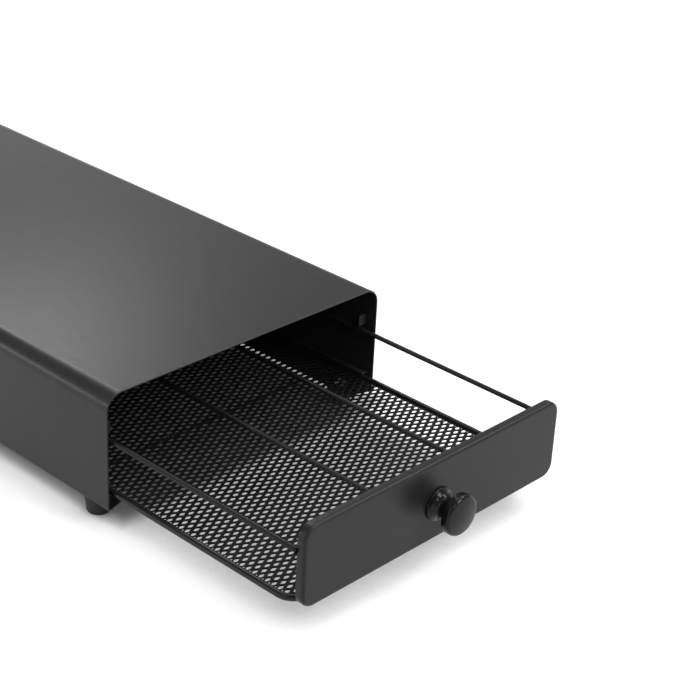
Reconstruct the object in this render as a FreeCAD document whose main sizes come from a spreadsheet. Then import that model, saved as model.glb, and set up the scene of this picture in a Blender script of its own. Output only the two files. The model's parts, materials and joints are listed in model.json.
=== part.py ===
# Coffee pod drawer organizer: a folded steel casing on rubber feet, and a wire drawer
# with a pressed steel front, a mesh floor and three lanes that hold the pods upright.
# Millimetres. X runs to the right as seen from the front, Y to the back, Z up.
# The origin is on the surface that the feet stand on, in the middle of the organizer's
# outline with the drawer drawn out by `extension`.

import FreeCAD, Part
import math
import os
import Sketcher

from FreeCAD import Placement, Rotation, Vector

SIZES = [
    # casing
    ("case_width", 184.0, "casing, across the sides"),
    ("case_depth", 330.0, "casing, front edge to back"),
    ("case_height", 62.5, "casing sheet, without the feet"),
    ("case_sheet", 1.0, "thickness of the casing sheet"),
    ("case_fold_radius", 9.0, "outer radius of the two top folds"),
    ("case_foot_fold", 1.8, "outer radius of the two bottom folds"),
    ("case_flange", 14.0, "width of the bottom flanges, from the casing's side"),
    ("flange_setback", 4.0, "how far the flange's inner front corner is cut back"),
    # back panel
    ("back_sheet", 0.8, "thickness of the back panel"),
    ("back_flange", 12.0, "depth of the back panel's flanges"),
    ("back_foot_radius", 3.0, "radius of the back panel's lower corners"),
    ("back_bend", 1.4, "outer radius between the back panel and its flanges"),
    # runners and stops
    ("runner_sheet", 0.8, "thickness of the runner channels"),
    ("runner_leg", 4.9, "width of the channel's legs, from the casing's wall"),
    ("runner_rise", 5.75, "underside of the channel above the casing's underside"),
    ("runner_setback", 3.4, "channel's front end behind the casing's front edge"),
    ("runner_end_gap", 0.6, "between the channel's rear end and the back panel's flange"),
    ("runner_bend", 1.1, "outer radius of the channel's bends"),
    ("running_gap", 0.3, "between the frame rod and each leg of its channel"),
    ("side_gap", 0.95, "between the frame rod and the web of its channel"),
    ("tab_sheet", 0.8, "thickness of the stop tabs"),
    ("tab_reach", 6.0, "how far a stop tab stands out from the wall"),
    ("tab_foot", 10.0, "length of the stop tab's foot along the wall"),
    ("tab_height", 6.0, "height of a stop tab"),
    ("tab_setback", 6.0, "stop tab behind the casing's front edge"),
    ("tab_lift", 1.6, "between the upper wire and the stop tab above it"),
    ("tab_bend", 1.2, "outer radius of the stop tab's bend"),
    # feet
    ("foot_height", 9.5, "rubber foot, below the casing"),
    ("foot_top_radius", 7.0, "rubber foot, at the casing"),
    ("foot_base_radius", 6.0, "rubber foot, at the table"),
    ("foot_bevel", 0.9, "bevel of the foot's lower edge"),
    ("foot_recess_radius", 3.7, "recess for the screw's head"),
    ("foot_recess", 5.0, "depth of the recess for the screw's head"),
    ("foot_side_inset", 8.0, "foot's centre from the casing's side"),
    ("foot_end_inset", 17.0, "foot's centre from the casing's front and back"),
    # screws
    ("screw_radius", 2.0, "shank of the foot and knob screws"),
    ("screw_play", 0.2, "play of a shank in its hole, on the radius"),
    ("thread_play", 0.05, "play of a shank in its nut or thread, on the radius"),
    ("screw_head_radius", 3.4, "screw's pan head"),
    ("screw_head", 2.4, "height of the screw's pan head"),
    ("screw_head_bevel", 0.8, "bevel of the pan head"),
    ("screw_stand", 0.6, "foot screw's tip above its nut"),
    ("nut_flats", 7.0, "nut, across its flats"),
    ("nut_height", 2.8, "thickness of the nut"),
    # drawer front
    ("extension", 126.0, "drawer's face in front of the casing, as it stands"),
    ("face_proud", 2.0, "drawer's face in front of the casing when it is closed"),
    ("panel_side_gap", 3.5, "between the front panel and the casing's wall"),
    ("panel_top_gap", 13.0, "between the front panel and the casing's top"),
    ("panel_sheet", 0.8, "thickness of the front panel"),
    ("panel_depth", 4.9, "depth of the front panel's rim"),
    ("panel_corner", 7.0, "radius of the front panel's corners"),
    ("panel_bend", 1.5, "outer radius between the face and its rim"),
    ("rim_seat", 48.0, "where the frame rod sits on the rim, in degrees below its middle"),
    # drawer frame
    ("rear_gap", 5.2, "between the closed drawer and the back panel"),
    ("rod_radius", 1.75, "bottom frame's rod"),
    ("rod_bend", 9.0, "bend radius of the frame rod and the upper wire"),
    ("wire_radius", 1.25, "upper wire and the posts at the back"),
    ("wire_drop", 12.3, "upper wire below the top of the front panel"),
    ("divider_radius", 1.0, "divider wires between the lanes"),
    ("lane_pitch", 53.8, "from one divider wire to the other"),
    ("support_radius", 1.0, "wires under the mesh floor"),
    ("support_pitch", 60.0, "from one wire under the floor to the next"),
    ("support_rear_inset", 55.0, "rearmost wire under the floor from the drawer's back"),
    ("clip_length", 12.0, "nylon clip on the upper wire"),
    ("clip_rear_inset", 51.0, "nylon clip from the drawer's back"),
    ("clip_wall_gap", 0.5, "between the nylon clip and the stop tab's foot"),
    ("clip_inner_reach", 3.0, "nylon clip, from the wire's centre inwards"),
    ("clip_below", 2.5, "nylon clip, below the wire's centre"),
    ("clip_catch", 4.0, "nylon clip's overlap with the stop tab, in height"),
    ("clip_round", 0.8, "rounding of the nylon clip's ends"),
    # mesh floor
    ("mesh_thickness", 1.0, "mesh floor"),
    ("mesh_margin", 3.5, "plain border of the mesh floor"),
    ("mesh_long_way", 23.0, "mesh openings, from one to the next across the drawer"),
    ("mesh_short_way", 13.8, "mesh openings, from one to the next along the drawer"),
    ("mesh_strand", 2.4, "width of the mesh's strands"),
    ("mesh_corner_ease", 1.2, "mesh corners' radius above that of the rod's inner side"),
    # knob
    ("knob_reach", 16.0, "knob's crown in front of the panel"),
    ("knob_drop", 2.0, "knob's axis below the middle of the panel"),
    ("knob_base_radius", 8.6, "knob's rosette"),
    ("knob_base_edge", 1.0, "thickness of the rosette at its edge"),
    ("knob_neck_radius", 5.2, "knob's neck at its narrowest"),
    ("knob_shoulder", 7.9, "where the neck's hollow ends, at the rosette and at the head"),
    ("knob_hollow_low", 1.3, "start of the neck's hollow, from the panel"),
    ("knob_hollow", 8.8, "length of the neck's hollow along the knob"),
    ("knob_head_radius", 10.4, "knob's head"),
    ("knob_head", 4.8, "thickness of the head at its rim, bevels included"),
    ("knob_back_bevel", 0.6, "bevel at the back of the head"),
    ("knob_front_bevel", 1.2, "bevel in front of the head, in two steps"),
    ("knob_crown", 0.8, "rise of the head's face to its middle"),
    ("knob_bore", 9.0, "depth of the knob's threaded hole"),
    ("knob_bore_spare", 1.5, "threaded hole left free beyond the screw"),
    ("washer_radius", 4.6, "washer under the knob screw's head"),
    ("washer_height", 0.8, "thickness of that washer"),
]

# What follows from the sizes. Heights are above the casing's underside, and Y is from the
# casing's front edge (front_y, tab_y, back_y) or from the drawer's face (the rest).
PLACES = [
    ("front_y", "(sizes.extension + sizes.knob_reach - sizes.case_depth) / 2"),
    ("face_y", "front_y - sizes.extension"),
    ("wall_x", "sizes.case_width / 2 - sizes.case_sheet"),
    ("case_top", "sizes.case_height - sizes.case_sheet"),
    ("back_y", "sizes.case_depth - sizes.back_flange"),
    ("runner_length", "back_y - sizes.runner_end_gap - sizes.runner_setback"),
    ("runner_slot", "2 * (sizes.rod_radius + sizes.running_gap)"),
    ("rod_x", "wall_x - sizes.runner_sheet - sizes.side_gap - sizes.rod_radius"),
    ("rod_z", "sizes.runner_rise + sizes.runner_sheet + runner_slot / 2"),
    ("drawer_length", "sizes.case_depth - sizes.back_sheet - sizes.rear_gap + sizes.face_proud"),
    ("rod_front", "sizes.panel_depth + sizes.rod_radius * cos(sizes.rim_seat)"),
    ("rod_back", "drawer_length - sizes.rod_radius"),
    ("panel_half", "wall_x - sizes.panel_side_gap"),
    ("rim_top", "rod_z - sizes.rod_radius * sin(sizes.rim_seat)"),
    ("panel_bottom", "rim_top - sizes.panel_sheet"),
    ("panel_top", "case_top - sizes.panel_top_gap"),
    ("knob_z", "(panel_bottom + panel_top) / 2 - sizes.knob_drop"),
    ("wire_z", "panel_top - sizes.wire_drop"),
    ("divider_z", "wire_z - sizes.wire_radius - sizes.divider_radius"),
    ("tab_z", "wire_z + sizes.wire_radius + sizes.tab_lift"),
    ("clip_outer", "wall_x - sizes.tab_sheet - sizes.clip_wall_gap"),
    ("clip_inner", "rod_x - sizes.clip_inner_reach"),
    ("clip_top", "tab_z + sizes.clip_catch"),
    ("clip_y", "drawer_length - sizes.clip_rear_inset - sizes.clip_length"),
    ("mesh_half", "rod_x - sizes.rod_radius"),
    ("mesh_front", "rod_front + sizes.rod_radius"),
    ("mesh_back", "rod_back - sizes.rod_radius"),
    ("mesh_z", "rod_z - sizes.mesh_thickness / 2"),
    ("support_z", "mesh_z - sizes.support_radius"),
    ("support_half", "rod_x - sqrt(sizes.rod_radius ^ 2 - (sizes.mesh_thickness / 2) ^ 2)"),
    ("post_z", "rod_z + sizes.rod_radius"),
    ("post_height", "wire_z - sizes.wire_radius - post_z"),
    ("foot_x", "sizes.case_width / 2 - sizes.foot_side_inset"),
    ("foot_back", "sizes.case_depth - sizes.foot_end_inset"),
    ("screw_top", "sizes.foot_height + sizes.case_sheet + sizes.nut_height + sizes.screw_stand"),
    ("nut_corner", "sizes.nut_flats / 2 / cos(30)"),
    ("washer_y", "sizes.panel_sheet + sizes.washer_height"),
    ("knob_screw_length", "washer_y + sizes.knob_bore - sizes.knob_bore_spare"),
    ("hollow_high", "sizes.knob_hollow_low + sizes.knob_hollow"),
    ("hollow_depth", "sizes.knob_shoulder - sizes.knob_neck_radius"),
    ("hollow_radius", "(sizes.knob_hollow ^ 2 / 4 + hollow_depth ^ 2) / (2 * hollow_depth)"),
    ("head_face", "sizes.knob_reach - sizes.knob_crown"),
    ("head_back", "head_face - sizes.knob_head"),
    ("face_radius", "sizes.knob_head_radius - sizes.knob_front_bevel"),
]

doc = FreeCAD.newDocument("pod_drawer")
parts = {}


def make_sheets():
    """Put the sizes in one sheet, and what follows from them in another."""
    sizes = doc.addObject("Spreadsheet::Sheet", "sizes")
    for row, (alias, number, note) in enumerate(SIZES, start=1):
        sizes.set(f"A{row}", alias)
        sizes.set(f"B{row}", str(number))
        sizes.setAlias(f"B{row}", alias)
        sizes.set(f"C{row}", note)
    places = doc.addObject("Spreadsheet::Sheet", "places")
    for row, (alias, formula) in enumerate(PLACES, start=1):
        places.set(f"A{row}", alias)
        places.set(f"B{row}", "=" + formula)
        places.setAlias(f"B{row}", alias)
    doc.recompute()
    return sizes, places


sizes, places = make_sheets()


def size(alias):
    """A driving size, as a number."""
    return float(sizes.get(alias))


def place(alias):
    """A worked out place, as a number."""
    return float(places.get(alias))


def bind(obj, **formulas):
    """Tie properties to the sheets. A double underscore stands for a dot."""
    for path, formula in formulas.items():
        obj.setExpression(path.replace("__", "."), formula)


def stand(obj, label, x="0", y="0", z="0", turn=None):
    """Name a sub-part and give it its Placement."""
    obj.Label = label
    if turn is not None:
        obj.Placement = Placement(Vector(), turn)
    bind(obj, Placement__Base__x=x, Placement__Base__y=y, Placement__Base__z=z)
    parts[label] = obj
    return obj


def in_casing(obj, label, x="0", y="0", z="0", turn=None):
    """Place a sub-part from the casing's front edge and underside."""
    return stand(obj, label, x, f"places.front_y + {y}", f"sizes.foot_height + {z}", turn)


def in_drawer(obj, label, x="0", y="0", z="0", turn=None):
    """Place a sub-part from the drawer's face and the casing's underside."""
    return stand(obj, label, x, f"places.face_y + {y}", f"sizes.foot_height + {z}", turn)


def plane(body, role):
    """One of the body's own origin planes or axes."""
    return next(item for item in body.Origin.OriginFeatures if item.Role == role)


def new_body(name):
    return doc.addObject("PartDesign::Body", name)


def new_sketch(body, name, role, offset=None):
    """A sketch on one of the body's planes, moved along its normal by `offset`."""
    sketch = body.newObject("Sketcher::SketchObject", name)
    sketch.AttachmentSupport = [(plane(body, role), "")]
    sketch.MapMode = "FlatFace"
    if offset is not None:
        bind(sketch, AttachmentOffset__Base__z=offset)
    return sketch


def hold(sketch, kind, geometry, point, formula):
    """Fix one coordinate of a sketch point, measured from the sketch's origin."""
    spot = sketch.getPoint(geometry, point)
    drawn = spot.x if kind == "X" else spot.y
    index = sketch.addConstraint(
        Sketcher.Constraint("Distance" + kind, -1, 1, geometry, point, drawn))
    sketch.setExpression(f"Constraints[{index}]", formula)


def outline(body, name, role, corners, offset=None, closed=True):
    """Straight sides between corners that are pairs of formulas."""
    sketch = new_sketch(body, name, role, offset)
    count = len(corners)
    ring = [
        Vector(math.cos(2 * math.pi * i / count), math.sin(2 * math.pi * i / count), 0)
        for i in range(count)
    ]
    sides = count if closed else count - 1
    for i in range(sides):
        sketch.addGeometry(Part.LineSegment(ring[i], ring[(i + 1) % count]), False)
    for i in range(count if closed else sides - 1):
        sketch.addConstraint(Sketcher.Constraint("Coincident", i, 2, (i + 1) % count, 1))
    for i, (across, up) in enumerate(corners):
        side, point = (i, 1) if i < sides else (i - 1, 2)
        hold(sketch, "X", side, point, across)
        hold(sketch, "Y", side, point, up)
    return sketch


def box_outline(body, name, role, low, high, offset=None):
    """A rectangle between two corners."""
    corners = [low, (high[0], low[1]), high, (low[0], high[1])]
    return outline(body, name, role, corners, offset)


def circles(body, name, role, rings, offset=None):
    """A sketch of circles, each given as centre and radius formulas."""
    sketch = new_sketch(body, name, role, offset)
    for i, (across, up, radius) in enumerate(rings):
        sketch.addGeometry(Part.Circle(Vector(i, 0, 0), Vector(0, 0, 1), 1.0), False)
        hold(sketch, "X", i, 3, across)
        hold(sketch, "Y", i, 3, up)
        index = sketch.addConstraint(Sketcher.Constraint("Radius", i, 1.0))
        sketch.setExpression(f"Constraints[{index}]", radius)
    return sketch


def pad(body, sketch, length, backward=False, both=False):
    """Raise a sketch; on the XZ plane `backward` means towards +Y."""
    feature = body.newObject("PartDesign::Pad", sketch.Name + "_pad")
    feature.Profile = sketch
    feature.Reversed = backward
    feature.Midplane = both
    bind(feature, Length=length)
    doc.recompute()
    return feature


def pocket(body, sketch, depth, backward=False):
    """Cut a sketch into the body, and make sure that it removes something."""
    before = body.Shape.Volume
    feature = body.newObject("PartDesign::Pocket", sketch.Name + "_pocket")
    feature.Profile = sketch
    feature.Reversed = backward
    bind(feature, Length=depth)
    doc.recompute()
    if not feature.Shape.Volume < before:
        raise RuntimeError(f"{feature.Name} removes nothing")
    return feature


def revolve(body, sketch):
    """Turn a profile a full circle about the sketch's upright axis."""
    feature = body.newObject("PartDesign::Revolution", sketch.Name + "_turned")
    feature.Profile = sketch
    feature.ReferenceAxis = (sketch, ["V_Axis"])
    feature.Angle = 360
    doc.recompute()
    return feature


def fillet(body, base, radius, wanted):
    """Round the edges of `base` that `wanted` picks out."""
    names = [f"Edge{i}" for i, edge in enumerate(base.Shape.Edges, start=1) if wanted(edge)]
    if not names:
        raise RuntimeError(f"{body.Name} has no edge to round")
    feature = body.newObject("PartDesign::Fillet", base.Name + "_round")
    feature.Base = (base, names)
    bind(feature, Radius=radius)
    doc.recompute()
    return feature


def near(value, target):
    return abs(value - target) < 1e-4


def runs_along(edge, axis):
    """Whether a straight edge runs along X, Y or Z."""
    if edge.Degenerated or edge.Curve.TypeId != "Part::GeomLine":
        return False
    return near(abs(getattr(edge.Curve.Direction, axis)), 1.0)


def edge_at(edge, **where):
    """Whether the middle of an edge lies at the given coordinates."""
    middle = edge.valueAt((edge.FirstParameter + edge.LastParameter) / 2)
    return all(near(getattr(middle, axis), value) for axis, value in where.items())


def cylinder(name, radius, height):
    rod = doc.addObject("Part::Cylinder", name)
    bind(rod, Radius=radius, Height=height)
    return rod


def casing_shell():
    """Top, sides and bottom flanges, folded from one sheet."""
    body = new_body("shell")
    half = "sizes.case_width / 2"
    inner = "places.wall_x"
    lip = f"({half} - sizes.case_flange)"
    sheet = "sizes.case_sheet"
    top = "sizes.case_height"
    section = outline(body, "shell_section", "XZ_Plane", [
        (f"-{half}", "0"), (f"-{lip}", "0"), (f"-{lip}", sheet), (f"-{inner}", sheet),
        (f"-{inner}", "places.case_top"), (inner, "places.case_top"),
        (inner, sheet), (lip, sheet), (lip, "0"), (half, "0"), (half, top), (f"-{half}", top),
    ])
    solid = pad(body, section, "sizes.case_depth", backward=True)
    folds = [
        ("sizes.case_fold_radius", size("case_width") / 2, size("case_height")),
        ("sizes.case_fold_radius - sizes.case_sheet", place("wall_x"), place("case_top")),
        ("sizes.case_foot_fold", size("case_width") / 2, 0.0),
        ("sizes.case_foot_fold - sizes.case_sheet", place("wall_x"), size("case_sheet")),
    ]
    for radius, x, z in folds:
        solid = fillet(body, solid, radius, lambda edge: runs_along(edge, "y")
                       and (edge_at(edge, x=x, z=z) or edge_at(edge, x=-x, z=z)))
    for side, sign in (("left", "-"), ("right", "")):
        corner = outline(body, f"{side}_mitre", "XY_Plane", [
            (f"{sign}{inner}", "0"), (f"{sign}{lip}", "sizes.flange_setback"),
            (f"{sign}{lip}", "0"),
        ])
        pocket(body, corner, sheet, backward=True)
    hole = "sizes.screw_radius + sizes.screw_play"
    foot_rings = [
        (f"{sign}places.foot_x", y, hole)
        for sign in ("-", "") for y in ("sizes.foot_end_inset", "places.foot_back")
    ]
    pocket(body, circles(body, "foot_holes", "XY_Plane", foot_rings), sheet, backward=True)
    in_casing(body, "casing_shell")


def back_panel():
    """A shallow pan whose flanges are welded to the inside of the casing."""
    body = new_body("back")
    section = box_outline(body, "back_section", "XZ_Plane",
                          ("-places.wall_x", "sizes.case_sheet"),
                          ("places.wall_x", "places.case_top"))
    solid = pad(body, section, "sizes.back_flange", backward=True)
    for radius, z in (("sizes.case_fold_radius", place("case_top")),
                      ("sizes.back_foot_radius", size("case_sheet"))):
        solid = fillet(body, solid, radius,
                       lambda edge: runs_along(edge, "y") and edge_at(edge, z=z))
    solid = fillet(body, solid, "sizes.back_bend",
                   lambda edge: edge_at(edge, y=size("back_flange")))
    hollow(body, solid, "sizes.back_sheet", 0.0)
    in_casing(body, "back_panel", y="places.back_y")


def hollow(body, base, sheet, open_y):
    """Leave a skin of `sheet` inside a solid that opens at the flat face at Y `open_y`."""
    names = [
        f"Face{i}" for i, face in enumerate(base.Shape.Faces, start=1)
        if near(face.BoundBox.YLength, 0.0) and near(face.CenterOfMass.y, open_y)
    ]
    feature = body.newObject("PartDesign::Thickness", base.Name + "_skin")
    feature.Base = (base, names)
    feature.Mode = "Skin"
    feature.Join = "Intersection"
    feature.Reversed = True
    bind(feature, Value=sheet)
    doc.recompute()
    return feature


def runner(side, sign):
    """A channel on the casing's wall that the frame rod slides in."""
    body = new_body(f"{side}_channel")
    wall = "places.wall_x"
    lip = "(places.wall_x - sizes.runner_leg)"
    web = "(places.wall_x - sizes.runner_sheet)"
    sheet = "sizes.runner_sheet"
    slot_top = "sizes.runner_sheet + places.runner_slot"
    channel_top = "2 * sizes.runner_sheet + places.runner_slot"
    section = outline(body, f"{side}_channel_section", "XZ_Plane", [
        (sign + wall, "0"), (sign + lip, "0"), (sign + lip, sheet), (sign + web, sheet),
        (sign + web, slot_top), (sign + lip, slot_top), (sign + lip, channel_top),
        (sign + wall, channel_top),
    ])
    solid = pad(body, section, "places.runner_length", backward=True)
    mirror = -1 if sign else 1
    height = 2 * size("runner_sheet") + place("runner_slot")
    solid = fillet(body, solid, "sizes.runner_bend", lambda edge: runs_along(edge, "y")
                   and (edge_at(edge, x=mirror * place("wall_x"), z=0.0)
                        or edge_at(edge, x=mirror * place("wall_x"), z=height)))
    inner_x = mirror * (place("wall_x") - size("runner_sheet"))
    fillet(body, solid, "sizes.runner_bend - sizes.runner_sheet",
           lambda edge: runs_along(edge, "y")
           and (edge_at(edge, x=inner_x, z=size("runner_sheet"))
                or edge_at(edge, x=inner_x, z=height - size("runner_sheet"))))
    in_casing(body, f"{side}_runner", y="sizes.runner_setback", z="sizes.runner_rise")


def stop_tab(side, sign):
    """A bent tab on the casing's wall that catches the drawer's clip."""
    body = new_body(f"{side}_tab")
    wall = "places.wall_x"
    tip = "(places.wall_x - sizes.tab_reach)"
    skin = "(places.wall_x - sizes.tab_sheet)"
    section = outline(body, f"{side}_tab_section", "XY_Plane", [
        (sign + wall, "0"), (sign + tip, "0"), (sign + tip, "sizes.tab_sheet"),
        (sign + skin, "sizes.tab_sheet"), (sign + skin, "sizes.tab_foot"),
        (sign + wall, "sizes.tab_foot"),
    ])
    solid = pad(body, section, "sizes.tab_height")
    mirror = -1 if sign else 1
    solid = fillet(body, solid, "sizes.tab_bend", lambda edge: runs_along(edge, "z")
                   and edge_at(edge, x=mirror * place("wall_x"), y=0.0))
    fillet(body, solid, "sizes.tab_bend - sizes.tab_sheet", lambda edge: runs_along(edge, "z")
           and edge_at(edge, x=mirror * (place("wall_x") - size("tab_sheet")),
                       y=size("tab_sheet")))
    in_casing(body, f"{side}_stop_tab", y="sizes.tab_setback", z="places.tab_z")


def foot(corner, x, y):
    """A tapered rubber foot with a recess for its screw."""
    body = new_body(f"{corner}_rubber")
    shank = "sizes.screw_radius + sizes.screw_play"
    profile = outline(body, f"{corner}_rubber_profile", "XZ_Plane", [
        ("sizes.foot_recess_radius", "0"), ("sizes.foot_base_radius - sizes.foot_bevel", "0"),
        ("sizes.foot_base_radius", "sizes.foot_bevel"),
        ("sizes.foot_top_radius", "sizes.foot_height"), (shank, "sizes.foot_height"),
        (shank, "sizes.foot_recess"), ("sizes.foot_recess_radius", "sizes.foot_recess"),
    ])
    revolve(body, profile)
    in_casing(body, f"{corner}_foot", x, y, "-sizes.foot_height")


def foot_screw(corner, x, y):
    """A pan head screw, up through the foot and the casing's flange."""
    body = new_body(f"{corner}_screw")
    head = "sizes.screw_head_radius"
    low = "(sizes.foot_recess - sizes.screw_head)"
    crown = f"({low} + sizes.screw_head_bevel)"
    profile = outline(body, f"{corner}_screw_profile", "XZ_Plane", [
        ("0", low), (f"{head} - sizes.screw_head_bevel", low), (head, crown),
        (head, "sizes.foot_recess"),
        ("sizes.screw_radius", "sizes.foot_recess"), ("sizes.screw_radius", "places.screw_top"),
        ("0", "places.screw_top"),
    ])
    revolve(body, profile)
    in_casing(body, f"{corner}_foot_screw", x, y, "-sizes.foot_height")


def foot_nut(corner, x, y):
    """A hexagon nut on top of the flange."""
    hexagon = doc.addObject("Part::Prism", f"{corner}_hexagon")
    hexagon.Polygon = 6
    bind(hexagon, Circumradius="places.nut_corner", Height="sizes.nut_height")
    bore = cylinder(f"{corner}_nut_bore", "sizes.screw_radius + sizes.thread_play",
                    "sizes.nut_height")
    nut = doc.addObject("Part::Cut", f"{corner}_nut")
    nut.Base = hexagon
    nut.Tool = bore
    in_casing(nut, f"{corner}_foot_nut", x, y, "sizes.case_sheet")


def front_panel():
    """The drawer's front, pressed from one sheet with a rim all round."""
    body = new_body("panel")
    section = box_outline(body, "panel_face", "XZ_Plane",
                          ("-places.panel_half", "places.panel_bottom"),
                          ("places.panel_half", "places.panel_top"))
    solid = pad(body, section, "sizes.panel_depth", backward=True)
    solid = fillet(body, solid, "sizes.panel_corner", lambda edge: runs_along(edge, "y"))
    solid = fillet(body, solid, "sizes.panel_bend", lambda edge: edge_at(edge, y=0.0))
    hollow(body, solid, "sizes.panel_sheet", size("panel_depth"))
    hole = circles(body, "knob_hole", "XZ_Plane",
                   [("0", "places.knob_z", "sizes.screw_radius + sizes.screw_play")])
    pocket(body, hole, "sizes.panel_sheet", backward=False)
    in_drawer(body, "front_panel")


def bent_path(body, name, height, legs, closed):
    """A path of straight legs joined by quarter bends, all turning left.

    Each leg is its axis, the formula and value of its fixed coordinate, and the other
    coordinate at both ends before the bends are taken off. The first point of an open path
    and its last are held by their own formulas.
    """
    sketch = new_sketch(body, name, "XY_Plane", height)
    bend = size("rod_bend")
    lines = []
    arcs = []
    for start, end, before, after in legs:
        way = (end - start).normalize()
        first = start + way * bend if before else start
        last = end - way * bend if after else end
        lines.append(sketch.addGeometry(Part.LineSegment(first, last), False))
        if after:
            left = Vector(-way.y, way.x, 0)
            centre = last + left * bend
            angle = math.atan2(-left.y, -left.x)
            circle = Part.Circle(centre, Vector(0, 0, 1), bend)
            arc = Part.ArcOfCircle(circle, angle, angle + math.pi / 2)
            arcs.append(sketch.addGeometry(arc, False))
            sketch.addConstraint(Sketcher.Constraint("Tangent", lines[-1], 2, arcs[-1], 1))
        if before:
            sketch.addConstraint(Sketcher.Constraint("Tangent", arcs[len(lines) - 2], 2,
                                                     lines[-1], 1))
        kind = "Horizontal" if abs(way.x) > 0.5 else "Vertical"
        sketch.addConstraint(Sketcher.Constraint(kind, lines[-1]))
    index = sketch.addConstraint(Sketcher.Constraint("Radius", arcs[0], bend))
    sketch.setExpression(f"Constraints[{index}]", "sizes.rod_bend")
    for arc in arcs[1:]:
        sketch.addConstraint(Sketcher.Constraint("Equal", arcs[0], arc))
    if closed:
        sketch.addConstraint(Sketcher.Constraint("Coincident", lines[-1], 2, lines[0], 1))
    return sketch, lines


def pipe(body, name, profile, path):
    """Run a round profile along a path."""
    feature = body.newObject("PartDesign::AdditivePipe", name)
    feature.Profile = profile
    feature.Spine = (path, [])
    feature.Transition = "Transformed"
    doc.recompute()
    return feature


def bottom_frame():
    """A closed rod that carries the mesh and slides in the runners."""
    body = new_body("frame")
    x = place("rod_x")
    front = place("rod_front")
    back = place("rod_back")
    corners = [Vector(0, front, 0), Vector(x, front, 0), Vector(x, back, 0),
               Vector(-x, back, 0), Vector(-x, front, 0), Vector(0, front, 0)]
    legs = [
        (corners[i], corners[i + 1], i > 0, i < len(corners) - 2)
        for i in range(len(corners) - 1)
    ]
    path, lines = bent_path(body, "frame_path", "places.rod_z", legs, closed=True)
    hold(path, "X", lines[0], 1, "0")
    hold(path, "Y", lines[0], 1, "places.rod_front")
    hold(path, "X", lines[1], 1, "places.rod_x")
    hold(path, "Y", lines[2], 1, "places.rod_back")
    hold(path, "X", lines[3], 1, "-places.rod_x")
    rod = circles(body, "frame_rod", "YZ_Plane",
                  [("places.rod_front", "places.rod_z", "sizes.rod_radius")])
    pipe(body, "frame_pipe", rod, path)
    in_drawer(body, "bottom_frame")


def upper_wire():
    """A wire round the sides and back, butted to the front panel's rim."""
    body = new_body("upper")
    x = place("rod_x")
    start = size("panel_depth")
    back = place("rod_back")
    corners = [Vector(x, start, 0), Vector(x, back, 0), Vector(-x, back, 0),
               Vector(-x, start, 0)]
    legs = [
        (corners[i], corners[i + 1], i > 0, i < len(corners) - 2)
        for i in range(len(corners) - 1)
    ]
    path, lines = bent_path(body, "upper_path", "places.wire_z", legs, closed=False)
    hold(path, "X", lines[0], 1, "places.rod_x")
    hold(path, "Y", lines[0], 1, "sizes.panel_depth")
    hold(path, "Y", lines[1], 1, "places.rod_back")
    hold(path, "X", lines[2], 1, "-places.rod_x")
    hold(path, "Y", lines[2], 2, "sizes.panel_depth")
    wire = circles(body, "upper_section", "XZ_Plane",
                   [("places.rod_x", "places.wire_z", "sizes.wire_radius")],
                   "-sizes.panel_depth")
    pipe(body, "upper_pipe", wire, path)
    in_drawer(body, "upper_wire")


def mesh_floor():
    """Expanded metal between the frame rods: one face with staggered diamond openings."""
    half = place("mesh_half")
    front = place("mesh_front")
    back = place("mesh_back")
    radius = size("rod_bend") - size("rod_radius") + size("mesh_corner_ease")
    long_way = size("mesh_long_way")
    short_way = size("mesh_short_way")
    slant = math.hypot(long_way, short_way)
    shrink = 1 - size("mesh_strand") * slant / (long_way * short_way)
    long_reach = long_way / 2 * shrink
    short_reach = short_way / 2 * shrink
    columns = int((2 * half - 2 * size("mesh_margin")) / long_way)
    rows = int((back - front - 2 * size("mesh_margin")) / short_way)
    middle = (front + back) / 2

    def diamonds(across, along):
        """Openings of one of the two staggered sets, centred on the floor."""
        for i in range(across):
            for j in range(along):
                centre = Vector((i - (across - 1) / 2) * long_way,
                                middle + (j - (along - 1) / 2) * short_way, 0)
                tips = [Vector(long_reach, 0, 0), Vector(0, short_reach, 0),
                        Vector(-long_reach, 0, 0), Vector(0, -short_reach, 0)]
                yield Part.makePolygon([centre + tip for tip in tips + tips[:1]])

    sheet = Part.Face(Part.makePolygon([Vector(-half, front, 0), Vector(half, front, 0),
                                        Vector(half, back, 0), Vector(-half, back, 0),
                                        Vector(-half, front, 0)]))
    blank = sheet.extrude(Vector(0, 0, size("mesh_thickness")))
    upright = [edge for edge in blank.Edges if runs_along(edge, "z")]
    rounded = blank.makeFillet(radius, upright)
    base = next(face for face in rounded.Faces
                if near(face.BoundBox.ZLength, 0.0) and near(face.CenterOfMass.z, 0.0))
    openings = list(diamonds(columns, rows)) + list(diamonds(columns - 1, rows - 1))
    net = Part.Face([base.OuterWire] + openings)
    net.validate()
    mesh = doc.addObject("Part::Feature", "mesh")
    mesh.Shape = net.extrude(Vector(0, 0, size("mesh_thickness")))
    in_drawer(mesh, "mesh_floor", z="places.mesh_z")


def divider(side, sign):
    """A wire between two lanes, from the front panel to under the upper wire."""
    length = "places.rod_back + sizes.wire_radius - sizes.panel_sheet"
    rod = cylinder(f"{side}_lane_wire", "sizes.divider_radius", length)
    in_drawer(rod, f"{side}_divider", f"{sign}sizes.lane_pitch / 2", "sizes.panel_sheet",
              "places.divider_z", Rotation(Vector(1, 0, 0), -90))


def floor_support(number):
    """A wire under the mesh, across the drawer from rod to rod."""
    rod = cylinder(f"support_wire_{number}", "sizes.support_radius", "2 * places.support_half")
    along = (f"places.drawer_length - sizes.support_rear_inset"
             f" - {3 - number} * sizes.support_pitch")
    in_drawer(rod, f"floor_support_{number}", "-places.support_half", along,
              "places.support_z", Rotation(Vector(0, 1, 0), 90))


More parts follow.
